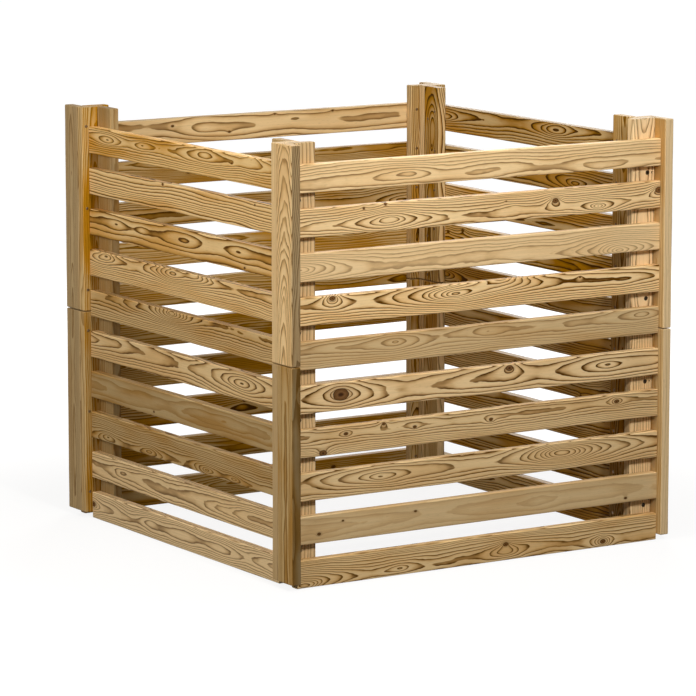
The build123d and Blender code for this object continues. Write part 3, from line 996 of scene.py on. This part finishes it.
class WoodSettings(bpy.types.PropertyGroup):
    earlywood: FloatVectorProperty(
        name="Earlywood", description="Pale wood of spring growth",
        default=(0.76, 0.56, 0.305), subtype="COLOR", min=0.0, max=1.0)
    heartwood: FloatVectorProperty(
        name="Heartwood", description="Warmer wood in patches and before each dark line",
        default=(0.58, 0.32, 0.105), subtype="COLOR", min=0.0, max=1.0)
    summerwood: FloatVectorProperty(
        name="Summerwood", description="Browner wood of summer growth",
        default=(0.36, 0.18, 0.04), subtype="COLOR", min=0.0, max=1.0)
    latewood: FloatVectorProperty(
        name="Latewood", description="Dark line at the end of each year's growth",
        default=(0.085, 0.034, 0.004), subtype="COLOR", min=0.0, max=1.0)
    knot_wood: FloatVectorProperty(
        name="Knot wood", description="Reddish wood of a branch",
        default=(0.19, 0.09, 0.03), subtype="COLOR", min=0.0, max=1.0)
    knot_rim: FloatVectorProperty(
        name="Knot rim", description="Dark rim and heart of a knot",
        default=(0.045, 0.018, 0.006), subtype="COLOR", min=0.0, max=1.0)
    # Painted shade: a board's inner face, inside the bin, is made darker and warmer, as the shade there
    # would make it; these two values set how much.
    inner_painted_shade: FloatProperty(
        name="Inner tone", description="How much darker a board's inner face is", default=-0.22)
    inner_painted_shade_warmth: FloatProperty(
        name="Inner warmth", description="How much warmer a board's inner face is", default=0.7)
    # Painted shade: the inside of a bored hole is made darker, as the shade in it would make it.
    hole_painted_shade: FloatProperty(
        name="Hole tone", description="How much darker the inside of a bored hole is", default=-0.85)
    end_tone: FloatProperty(
        name="End tone", description="How much darker the sawn ends are", default=-0.10)


class FastenerSettings(bpy.types.PropertyGroup):
    nail_inset: FloatProperty(
        name="Nail inset", description="From a batten's long edge to its nails",
        default=12 * MM, unit="LENGTH")
    nail_rise: FloatProperty(
        name="Nail rise", description="From a slat's upper edge, or a batten's foot, to the nails",
        default=11 * MM, unit="LENGTH")
    nail_sides: IntProperty(
        name="Nail sides", description="Flats around a nail", default=10, min=6, max=24)
    nail_steel: FloatVectorProperty(
        name="Nail steel", description="Bare steel of a nail",
        default=(0.24, 0.16, 0.09), subtype="COLOR", min=0.0, max=1.0)
    nail_stain: FloatVectorProperty(
        name="Nail stain", description="Stained steel of a nail",
        default=(0.12, 0.075, 0.04), subtype="COLOR", min=0.0, max=1.0)
    screw_sides: IntProperty(
        name="Screw sides", description="Flats around a screw", default=32, min=16, max=64)
    screw_sink: FloatProperty(
        name="Screw sink", description="How far a screw's head lies below the face of the wood",
        default=0.6 * MM, unit="LENGTH")
    screw_steel: FloatVectorProperty(
        name="Screw steel", description="Bare steel of a screw",
        default=(0.10, 0.075, 0.05), subtype="COLOR", min=0.0, max=1.0)
    screw_stain: FloatVectorProperty(
        name="Screw stain", description="Stained steel of a screw",
        default=(0.03, 0.02, 0.014), subtype="COLOR", min=0.0, max=1.0)
    spare_hole_offset: FloatProperty(
        name="Spare hole offset", description="From a corner's upper screw to the spare hole beside it",
        default=9 * MM, unit="LENGTH")


class StageSettings(bpy.types.PropertyGroup):
    camera_azimuth: FloatProperty(
        name="Camera azimuth", description="Where the camera stands, turned from the front to the right",
        default=math.radians(-32.6), subtype="ANGLE")
    camera_distance: FloatProperty(
        name="Camera distance", description="From the middle of the bin along the ground",
        default=6.873, unit="LENGTH")
    camera_height: FloatProperty(
        name="Camera height", description="Above the ground", default=1.4532, unit="LENGTH")
    camera_yaw: FloatProperty(
        name="Camera yaw", description="Direction in which the camera looks",
        default=math.radians(-32.37), subtype="ANGLE")
    camera_pitch: FloatProperty(
        name="Camera pitch", description="How far the camera looks down",
        default=math.radians(9.4), subtype="ANGLE")
    camera_lens: FloatProperty(
        name="Camera lens", description="Focal length for a picture 36 mm wide, in mm", default=207.23)
    key_power: FloatProperty(
        name="Key light", description="Power of the lamp in front of the bin",
        default=49.0, subtype="POWER")
    side_power: FloatProperty(
        name="Side light", description="Power of the lamp on the left", default=36.5, subtype="POWER")
    top_power: FloatProperty(
        name="Top light", description="Power of the lamp over the bin", default=13.0, subtype="POWER")
    back_power: FloatProperty(
        name="Back light", description="Power of the lamp behind the bin",
        default=60.0, subtype="POWER")
    ambient: FloatProperty(
        name="Ambient", description="Strength of the light from all around", default=0.08)
    floor_glow: FloatProperty(
        name="Floor glow", description="How bright the floor near the bin looks without any lamp",
        default=0.86)
    floor_near: FloatProperty(
        name="Floor near", description="Distance up to which the floor glows least",
        default=0.6, unit="LENGTH")
    floor_far: FloatProperty(
        name="Floor far", description="Distance from which the floor is white",
        default=1.3, unit="LENGTH")
    floor_colour: FloatVectorProperty(
        name="Floor", description="Colour of the floor where lamps light it",
        default=(0.16, 0.16, 0.16), subtype="COLOR", min=0.0, max=1.0)


class CompostBinSettings(bpy.types.PropertyGroup):
    boards: PointerProperty(type=BoardSettings)
    wood: PointerProperty(type=WoodSettings)
    fasteners: PointerProperty(type=FastenerSettings)
    stage: PointerProperty(type=StageSettings)


def slat_timber(part, wall, course):
    """A slat's timber: listed where the photo shows it, or else drawn, with painted light on its long
    edges: painted shade on the lower edge, and on the upper edge a painted highlight on the front and left
    walls and painted shade on the rear and right ones.
    """
    values = settings().boards
    timber = PICTURED_TIMBER[wall].get((part, course))
    if timber is None:
        name = f"{wall}_slat_{part}_{course}"
        timber = drawn_timber(name, SLAT_HEIGHT / MM, 2 * WALL_HALF[wall] / MM, values.slat_lean)
        shift = DRAWN_SHIFT.get(wall, {})
        timber = timber._replace(**{key: getattr(timber, key) + more for key, more in shift.items()})
    # Painted light on the slat's edges: a painted highlight on the upper edge of a near slat, painted shade
    # on that of a far slat and on every lower edge.
    upper_painted_light = values.upper_edge_painted_highlight if wall in NEAR_WALLS else values.far_edge_painted_shade
    return timber._replace(edges=(values.lower_edge_painted_shade, upper_painted_light))


class BIN_OT_slats(bpy.types.Operator):
    """Saw the twenty slats of each frame"""
    bl_idname = "compost_bin.slats"
    bl_label = "Slats"

    def execute(self, context):
        material = wood("Larch slats")
        easing = settings().boards.slat_easing
        for part in FRAMES:
            for wall, outward in WALLS.items():
                for course in range(1, COURSES + 1):
                    node = f"{wall}_slat_{part}_{course}"
                    low, high = node_limits(node)
                    timber = slat_timber(part, wall, course)
                    board = Board(low, high, outward, SIDEWAYS[wall], timber, easing, None)
                    board_piece(f"{node}.board", [board], f"{part}_frame", [node], material)
        return {"FINISHED"}


def upright(name, one, other, outward, cutter=None):
    """A vertical board between two opposite corners, with pictured or drawn timber."""
    low, high = np.minimum(one, other), np.maximum(one, other)
    values = settings().boards
    high = high - UP * values.upright_gap
    timber = UPRIGHT_TIMBER.get(name)
    if timber is None:
        timber = drawn_timber(name, values.upright_width / MM, (high - low)[2] / MM, values.upright_lean)
    return Board(low, high, outward, UP, timber, values.upright_easing, cutter)


# Countersunk screw, in mm: head, shank, thread and the hole that it sits in
SCREW_HEAD_RADIUS = 4.0
SCREW_HEAD_RIM = 0.25
SCREW_HEAD_DEPTH = 2.8
SCREW_NECK_RISE = 0.6
SCREW_CORE_RADIUS = 1.45
SCREW_NECK_RADIUS = 1.65
SCREW_THREAD_RADIUS = 2.0
SCREW_THREAD_PITCH = 1.8
SCREW_THREAD_START = 7.0
SCREW_THREAD_LEAD = 0.3
SCREW_LENGTH = 32.0
SCREW_TIP = 5.0
SCREW_POINT_SHARE = 0.06
RECESS_HALF_LENGTH = 2.3
RECESS_HALF_WIDTH = 0.55
RECESS_SLOPE = 0.25
RECESS_DEPTH = 1.9
HOLE_CLEARANCE = 0.15
HOLE_OVERSHOOT = 1.0
HOLE_SIDES = 24
SPARE_HOLE_RADIUS = 1.75
# Fineness of the screw: rings on the head, the first one's share of its radius, rings in a turn of
# the thread, and how sharp the thread is
HEAD_RINGS = 12
HEAD_FIRST_RING = 0.12
THREAD_RINGS = 6
THREAD_SHARPNESS = 3
# Courses above which a screw sits in the gap
SCREWED_COURSES = (0, COURSES - 2)


def screw_points(part, wall):
    """Where the screws of the front or rear wall meet the battens' outer faces, and the spare holes."""
    middle = (POST_INNER_EDGE + FRONT_HALF) / 2
    above_slat = (COURSE_PITCH + SLAT_HEIGHT) / 2
    heights = [FRAME_BASE[part] + course * COURSE_PITCH + above_slat for course in SCREWED_COURSES]
    face = WALLS[wall] * (WALL_FACE[wall] - SLAT_THICKNESS)
    offset = middle + settings().fasteners.spare_hole_offset
    screws = {side: [face + SIDEWAYS[wall] * side * middle + UP * z for z in heights] for side in SIDES}
    spares = {side: [face + SIDEWAYS[wall] * side * offset + UP * heights[-1]] for side in SIDES}
    return screws, spares


def batten_cutter(part, wall, side):
    """The countersunk holes and the spare hole of one front or rear batten, as one closed shape."""
    head = SCREW_HEAD_RADIUS + HOLE_CLEARANCE
    shank = SCREW_THREAD_RADIUS + HOLE_CLEARANCE
    through = BATTEN_THICKNESS / MM + HOLE_OVERSHOOT
    sunk = settings().fasteners.screw_sink / MM
    sunk_depths = np.array((-HOLE_OVERSHOOT, sunk, sunk + SCREW_HEAD_DEPTH, through))
    plain_depths = np.array((-HOLE_OVERSHOOT, HOLE_LIP, through))
    countersunk = lathe(np.array((head, head, shank, shank)) * MM, sunk_depths * MM, HOLE_SIDES)
    plain = lathe(np.full(len(plain_depths), SPARE_HOLE_RADIUS) * MM, plain_depths * MM, HOLE_SIDES)
    return joined([copies(shape, np.array(places[side]), -WALLS[wall])
                   for shape, places in zip((countersunk, plain), screw_points(part, wall))])


class BIN_OT_battens(bpy.types.Operator):
    """Saw the battens that the slats are nailed to, with the screw holes of the front and rear ones"""
    bl_idname = "compost_bin.battens"
    bl_label = "Battens"

    def execute(self, context):
        material = wood("Larch uprights")
        width = settings().boards.upright_width
        for part in FRAMES:
            for wall, outward in WALLS.items():
                node = f"{wall}_battens_{part}"
                low, high = node_limits(node)
                others = 1 - np.abs(SIDEWAYS[wall])
                boards = []
                for side in SIDES:
                    inner = SIDEWAYS[wall] * side * (WALL_HALF[wall] - width)
                    outer = SIDEWAYS[wall] * side * WALL_HALF[wall]
                    cutter = batten_cutter(part, wall, side) if wall in SCREWED_WALLS else None
                    boards.append(upright(f"{node}.{side}", low * others + inner, high * others + outer,
                                          outward, cutter))
                board_piece(f"{node}.boards", boards, f"{part}_frame", [node], material)
        return {"FINISHED"}


class BIN_OT_corners(bpy.types.Operator):
    """Saw the corner posts and the covers outside them"""
    bl_idname = "compost_bin.corners"
    bl_label = "Corner posts"

    def execute(self, context):
        material = wood("Larch uprights")
        for part in FRAMES:
            for corner, (side, end) in CORNERS.items():
                node = f"corner_post_{corner}_{part}"
                low, high = node_limits(node)
                bottom, top = low[2], high[2]
                post = upright(f"{node}.post",
                               np.array((side * POST_INNER_EDGE, end * POST_INNER_FACE, bottom)),
                               np.array((side * CORNER_HALF, end * POST_OUTER_FACE, top)),
                               np.array((0.0, float(end), 0.0)))
                cover = upright(f"{node}.cover",
                                np.array((side * FRONT_HALF, end * POST_OUTER_FACE, bottom)),
                                np.array((side * CORNER_HALF, end * CORNER_HALF, top)),
                                np.array((float(side), 0.0, 0.0)))
                boards = [post, cover]
                board_piece(f"{node}.boards", boards, f"{part}_frame", [node], material)
        return {"FINISHED"}


# Wire nail, in mm: a low dome, the head's rim, the shank and the point, along the length of the nail
NAIL_RADII = np.array((1.0, 2.3, 2.75, 2.75, 1.25, 1.25, 0.2))
NAIL_HEAD_DEPTHS = (-0.3, -0.2, 0.0, 1.2, 1.2)
NAIL_POINT = 4.0
SLAT_NAIL_LENGTH = 30.0
CORNER_NAIL_LENGTH = 45.0


def slat_nail_points(part, wall):
    """Heads of the nails of a wall, on the battens' inner faces: two staggered at each crossing."""
    values = settings().fasteners
    half = WALL_HALF[wall]
    foot = FRAME_BASE[part] + COURSE_PITCH * np.arange(COURSES)
    upper = foot + SLAT_HEIGHT - values.nail_rise
    lower = foot + UPRIGHT_RAISE + values.nail_rise
    inner = half - settings().boards.upright_width + values.nail_inset
    outer = half - values.nail_inset
    reach = np.outer(SIDES[::-1], np.repeat((inner, outer), COURSES)).ravel()
    heights = np.tile(np.concatenate((upper, lower)), len(SIDES))
    face = WALLS[wall] * (WALL_FACE[wall] - WALL_THICKNESS)
    return face + reach[:, None] * SIDEWAYS[wall] + heights[:, None] * UP


def corner_nail_points(part):
    """Heads and directions of the nails through the corner posts into the battens and the covers."""
    heights = FRAME_BASE[part] + SLAT_HEIGHT + COURSE_PITCH * np.array((0, COURSES // 2, COURSES - 1))
    into_batten = (POST_INNER_EDGE + BATTEN_THICKNESS / 2, POST_OUTER_FACE, -1)
    into_cover = ((FRONT_HALF + CORNER_HALF) / 2, POST_INNER_FACE, 1)
    heads, directions = [], []
    for side, end in CORNERS.values():
        for x, y, way in (into_batten, into_cover):
            heads.append(np.array((side * x, end * y, 0.0)) + heights[:, None] * UP)
            directions.append(np.tile((0.0, float(end * way), 0.0), (len(heights), 1)))
    return np.concatenate(heads), np.concatenate(directions)


def nail_shape(length):
    """A wire nail along +Z with its head at Z = 0, in metres; the length is in mm."""
    depths = np.array((*NAIL_HEAD_DEPTHS, length - NAIL_POINT, length))
    return lathe(NAIL_RADII * MM, depths * MM, settings().fasteners.nail_sides)


class BIN_OT_nails(bpy.types.Operator):
    """Drive the wire nails"""
    bl_idname = "compost_bin.nails"
    bl_label = "Nails"

    def execute(self, context):
        values = settings().fasteners
        material = metal("Nail steel", values.nail_steel, values.nail_stain)
        for part in FRAMES:
            shapes = [copies(nail_shape(SLAT_NAIL_LENGTH), slat_nail_points(part, wall), outward)
                      for wall, outward in WALLS.items()]
            shapes.append(copies(nail_shape(CORNER_NAIL_LENGTH), *corner_nail_points(part)))
            made = new_object(f"nails_{part}.wire", joined(shapes))
            finish_piece(made, material, f"{part}_frame", [f"nails_{part}"])
        return {"FINISHED"}


def screw_head(turn):
    """Radii and depths of a screw's head, in mm: the depth is the larger of two crossed troughs."""
    radii = np.linspace(HEAD_FIRST_RING, 1.0, HEAD_RINGS)[:, None] * SCREW_HEAD_RADIUS * np.ones(len(turn))
    x = np.abs(radii * np.cos(turn * 2 * math.pi))
    y = np.abs(radii * np.sin(turn * 2 * math.pi))
    troughs = [np.clip((RECESS_HALF_LENGTH - far) / RECESS_SLOPE, 0, 1)
               * np.clip((RECESS_HALF_WIDTH - near) / RECESS_SLOPE + 1, 0, 1)
               for far, near in ((x, y), (y, x))]
    return radii, RECESS_DEPTH * np.maximum(*troughs)


def screw_shape(sides):
    """A countersunk wood screw along +Z, head in the plane Z = 0, in metres.

    Under the head a cone leads to the shank, whose radius rises in a sharp ridge once in every turn:
    a power of the triangle wave of depth / pitch - angle / turn.
    """
    turn = np.arange(sides) / sides
    even = np.ones(sides)
    head_radii, head_depths = screw_head(turn)
    under_radii = np.array((SCREW_HEAD_RADIUS, SCREW_THREAD_RADIUS, SCREW_NECK_RADIUS, SCREW_NECK_RADIUS))
    under_depths = np.array((SCREW_HEAD_RIM, SCREW_HEAD_DEPTH, SCREW_HEAD_DEPTH + SCREW_NECK_RISE,
                             SCREW_THREAD_START - SCREW_THREAD_LEAD))
    step = SCREW_THREAD_PITCH / THREAD_RINGS
    depths = np.arange(SCREW_THREAD_START, SCREW_LENGTH, step)[:, None] * even
    taper = np.clip((SCREW_LENGTH - depths) / SCREW_TIP, SCREW_POINT_SHARE, 1)
    ridge = np.abs((depths / SCREW_THREAD_PITCH - turn) % 1 * 2 - 1) ** THREAD_SHARPNESS
    radii = taper * (SCREW_CORE_RADIUS + (SCREW_THREAD_RADIUS - SCREW_CORE_RADIUS) * ridge)
    all_radii = np.concatenate((head_radii, under_radii[:, None] * even, radii))
    all_depths = np.concatenate((head_depths, under_depths[:, None] * even, depths))
    return lathe(all_radii * MM, all_depths * MM, sides)


class BIN_OT_screws(bpy.types.Operator):
    """Turn in the countersunk screws that hold the front and rear walls to the corner posts"""
    bl_idname = "compost_bin.screws"
    bl_label = "Screws"

    def execute(self, context):
        values = settings().fasteners
        material = metal("Screw steel", values.screw_steel, values.screw_stain)
        shape = screw_shape(values.screw_sides)
        for part in FRAMES:
            name = f"screws_{part}.turned"
            luck = draws(name)
            shapes = []
            for wall in SCREWED_WALLS:
                inward = -WALLS[wall]
                screws, _ = screw_points(part, wall)
                heads = np.concatenate([screws[side] for side in SIDES]) + inward * values.screw_sink
                shapes.append(copies(shape, heads, inward, luck.uniform(0, math.pi, len(heads))))
            made = new_object(name, joined(shapes))
            finish_piece(made, material, f"{part}_frame", [f"screws_{part}"])
        return {"FINISHED"}


def background_rays(formula):
    """1 for rays that see the background itself: camera, mirror and glass rays."""
    light_path = formula.node("ShaderNodeLightPath").outputs
    kinds = ("Is Camera Ray", "Is Glossy Ray", "Is Transmission Ray")
    return formula.fold("MAXIMUM", [light_path[kind] for kind in kinds])


def floor_material():
    """Pale floor that keeps the shadow: most of its seen colour glows, the rest is lit by the lamps.

    The glow rises from its value near the bin to full white further away.
    """
    values = settings().stage
    material = bpy.data.materials.new("Pale floor")
    material.use_nodes = True
    tree = material.node_tree
    tree.nodes.remove(tree.nodes["Principled BSDF"])
    formula = Formula(tree)
    lit = formula.node("ShaderNodeBsdfDiffuse")
    lit.inputs["Color"].default_value = (*values.floor_colour, 1.0)
    glow = formula.node("ShaderNodeEmission")
    place = formula.node("ShaderNodeTexCoord").outputs["Object"]
    away = formula.node("ShaderNodeVectorMath", operation="LENGTH")
    formula.feed(away.inputs[0], place)
    rise = formula.ease(away.outputs["Value"], (values.floor_near, values.floor_far))
    strength = formula.math("MULTIPLY_ADD", rise, 1.0 - values.floor_glow, values.floor_glow)
    formula.feed(glow.inputs["Strength"], formula.math("MULTIPLY", background_rays(formula), strength))
    both = formula.node("ShaderNodeAddShader")
    formula.feed(both.inputs[0], lit.outputs[0])
    formula.feed(both.inputs[1], glow.outputs[0])
    formula.feed(tree.nodes["Material Output"].inputs["Surface"], both.outputs[0])
    return material


# The floor, in metres: from its middle to its edges, and how far it lies below the bin's feet
FLOOR_REACH = 30.0
FLOOR_DROP = 0.5 * MM
# Lamps: place, the point they look at, side of the square and colour; the stage holds their power
Lamp = namedtuple("Lamp", "place target size colour")
LAMPS = {
    "key": Lamp((-0.45, -2.5, 1.75), (0.0, 0.0, 0.42), 0.35, (1.0, 0.97, 0.93)),
    "side": Lamp((-2.6, -0.6, 1.25), (0.0, 0.0, 0.42), 0.8, (1.0, 0.94, 0.84)),
    "top": Lamp((-0.3, -0.6, 2.7), (0.0, 0.0, 0.4), 1.0, (1.0, 0.97, 0.92)),
    "back": Lamp((2.0, 2.4, 1.3), (0.0, 0.0, 0.4), 1.2, (1.0, 0.97, 0.93)),
}
# Width of the camera's picture in mm, and how far it sees in metres
PICTURE_WIDTH = 36.0
CAMERA_SIGHT = 200.0


def lay_floor():
    """A square floor under the bin."""
    x, y = FLOOR_REACH * np.array(((-1, 1, 1, -1), (-1, -1, 1, 1)))
    corners = np.stack((x, y, np.full(4, -FLOOR_DROP)), axis=1)
    floor = new_object("floor", Shape(corners, np.arange(4), np.array((4,))))
    floor.data.materials.append(floor_material())


def set_surroundings(scene):
    """A world that looks white, and lights the bin only by the ambient strength."""
    ambient = settings().stage.ambient
    world = bpy.data.worlds.new("White surroundings")
    world.use_nodes = True
    formula = Formula(world.node_tree)
    strength = formula.math("MULTIPLY_ADD", background_rays(formula), 1.0 - ambient, ambient)
    background = world.node_tree.nodes["Background"]
    formula.feed(background.inputs["Color"], (1.0, 1.0, 1.0, 1.0))
    formula.feed(background.inputs["Strength"], strength)
    scene.world = world


def hang_lamp(name, lamp, power):
    """A square lamp that looks at a point."""
    light = bpy.data.lights.new(name, "AREA")
    light.shape = "SQUARE"
    light.size = lamp.size
    light.energy = power
    light.color = lamp.colour
    made = bpy.data.objects.new(name, light)
    made.location = lamp.place
    made.rotation_euler = (Vector(lamp.target) - Vector(lamp.place)).to_track_quat("-Z", "Y").to_euler()
    bpy.context.scene.collection.objects.link(made)


def set_camera(scene):
    """The camera in its place, looking along its yaw and pitch."""
    values = settings().stage
    lens = bpy.data.cameras.new("camera")
    lens.sensor_width = PICTURE_WIDTH
    lens.lens = values.camera_lens
    lens.clip_end = CAMERA_SIGHT
    camera = bpy.data.objects.new("camera", lens)
    yaw, pitch = values.camera_yaw, values.camera_pitch
    camera.location = (values.camera_distance * math.sin(values.camera_azimuth),
                       -values.camera_distance * math.cos(values.camera_azimuth), values.camera_height)
    look = Vector((-math.sin(yaw) * math.cos(pitch), math.cos(yaw) * math.cos(pitch), -math.sin(pitch)))
    camera.rotation_euler = look.to_track_quat("-Z", "Y").to_euler()
    scene.collection.objects.link(camera)
    scene.camera = camera


class BIN_OT_stage(bpy.types.Operator):
    """Lay the floor, hang the lamps and set up the camera"""
    bl_idname = "compost_bin.stage"
    bl_label = "Stage"

    def execute(self, context):
        context.scene.view_settings.view_transform = "Standard"
        lay_floor()
        set_surroundings(context.scene)
        for name, lamp in LAMPS.items():
            hang_lamp(f"{name}_lamp", lamp, getattr(settings().stage, f"{name}_power"))
        set_camera(context.scene)
        return {"FINISHED"}


OPERATORS = (BIN_OT_slats, BIN_OT_battens, BIN_OT_corners, BIN_OT_nails, BIN_OT_screws, BIN_OT_stage)


class BIN_PT_panel(bpy.types.Panel):
    """Lists the pieces of the bin and the values they are made from"""
    bl_idname = "BIN_PT_panel"
    bl_label = "Compost Bin"
    bl_space_type = "VIEW_3D"
    bl_region_type = "UI"
    bl_category = "Compost Bin"

    def draw(self, context):
        for operator in OPERATORS:
            self.layout.operator(operator.bl_idname)
        for group in ("boards", "wood", "fasteners", "stage"):
            box = self.layout.box()
            box.label(text=group.capitalize())
            values = getattr(context.scene.compost_bin, group)
            for key in values.__annotations__:
                box.prop(values, key)


SETTINGS = (BoardSettings, WoodSettings, FastenerSettings, StageSettings, CompostBinSettings)
CLASSES = (*SETTINGS, *OPERATORS, BIN_PT_panel)


def register():
    for made in CLASSES:
        bpy.utils.register_class(made)
    bpy.types.Scene.compost_bin = PointerProperty(type=CompostBinSettings)


def unregister():
    del bpy.types.Scene.compost_bin
    for made in reversed(CLASSES):
        bpy.utils.unregister_class(made)


def main():
    register()
    bpy.ops.compost_bin.slats()
    bpy.ops.compost_bin.battens()
    bpy.ops.compost_bin.corners()
    bpy.ops.compost_bin.nails()
    bpy.ops.compost_bin.screws()
    bpy.ops.compost_bin.stage()


if __name__ == "__main__":
    main()
